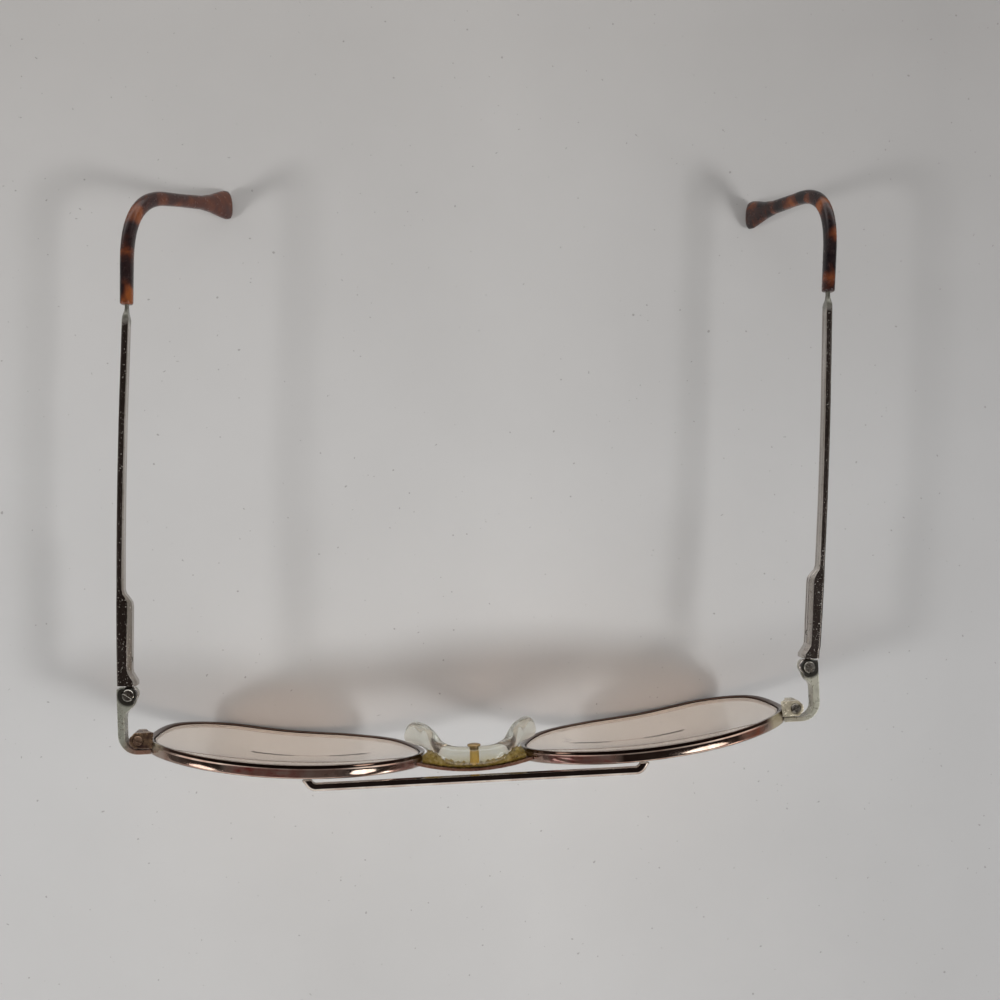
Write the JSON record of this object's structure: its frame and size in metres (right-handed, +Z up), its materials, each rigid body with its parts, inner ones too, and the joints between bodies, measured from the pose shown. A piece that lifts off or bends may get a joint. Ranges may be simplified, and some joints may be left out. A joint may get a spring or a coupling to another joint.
{
  "type": "aviator eyeglasses",
  "caption": "Metal aviator eyeglasses with tinted bifocal lenses, a brow bar, a clear saddle nose bridge and sprung temples that fold, ending in tortoiseshell tips.",
  "frame": {"origin": "middle of the open glasses' box, on the surface that the rims and the temple tips stand on", "axes": "+Z up, -Y the way the wearer looks, -X the wearer's right; +X is the longest side of the box"},
  "size_m": [0.1538, 0.1286, 0.047],
  "materials": {
    "rose_metal": "polished rose gold plate",
    "nickel": "polished nickel, lightly worn",
    "screw_steel": "turned steel",
    "stud_brass": "polished brass",
    "lens_tint": "light pink-brown tint",
    "clear_plastic": "clear plastic, yellowed",
    "tortoiseshell": "polished tortoiseshell acetate"
  },
  "bodies": {
    "front": {"right_rim": "rose_metal", "left_rim": "rose_metal", "right_lens": "lens_tint", "left_lens": "lens_tint", "brow_bar": "rose_metal", "bridge": "rose_metal", "nose_saddle": "clear_plastic", "saddle_stud": "stud_brass", "right_upper_closing_block": "rose_metal", "right_lower_closing_block": "rose_metal", "left_upper_closing_block": "rose_metal", "left_lower_closing_block": "rose_metal", "right_rim_screw": "screw_steel", "left_rim_screw": "screw_steel", "right_endpiece": "nickel", "left_endpiece": "nickel", "right_hinge_screw": "screw_steel", "left_hinge_screw": "screw_steel"},
    "right_slider": {"right_hinge_slider": "nickel"},
    "left_slider": {"left_hinge_slider": "nickel"},
    "right_temple": {"right_temple_arm": "nickel", "right_temple_tip": "tortoiseshell", "right_stop_pin": "screw_steel", "right_hinge_spring": "screw_steel"},
    "left_temple": {"left_temple_arm": "nickel", "left_temple_tip": "tortoiseshell", "left_stop_pin": "screw_steel", "left_hinge_spring": "screw_steel"}
  },
  "joints": [
    {"name": "right_temple_fold", "type": "hinge", "parent": "front", "child": "right_slider", "pos_m": [-0.0747, -0.0457, 0.0314], "axis": [0, 0, -1], "range_deg": [-12, 84.5]},
    {"name": "left_temple_fold", "type": "hinge", "parent": "front", "child": "left_slider", "pos_m": [0.067, -0.0465, 0.0314], "axis": [0, 0, 1], "range_deg": [-8, 83.5]},
    {"name": "right_flex_slide", "type": "slide", "parent": "right_slider", "child": "right_temple", "axis": [0.0427, 0.9991, 0], "range_m": [0, 0.0012], "stiffness_N_per_m": 1500, "springref_m": -0.0015, "deforming": ["right_hinge_spring"]},
    {"name": "left_flex_slide", "type": "slide", "parent": "left_slider", "child": "left_temple", "axis": [0.0818, 0.9967, 0], "range_m": [0, 0.0012], "stiffness_N_per_m": 1500, "springref_m": -0.0015, "deforming": ["left_hinge_spring"]}
  ]
}
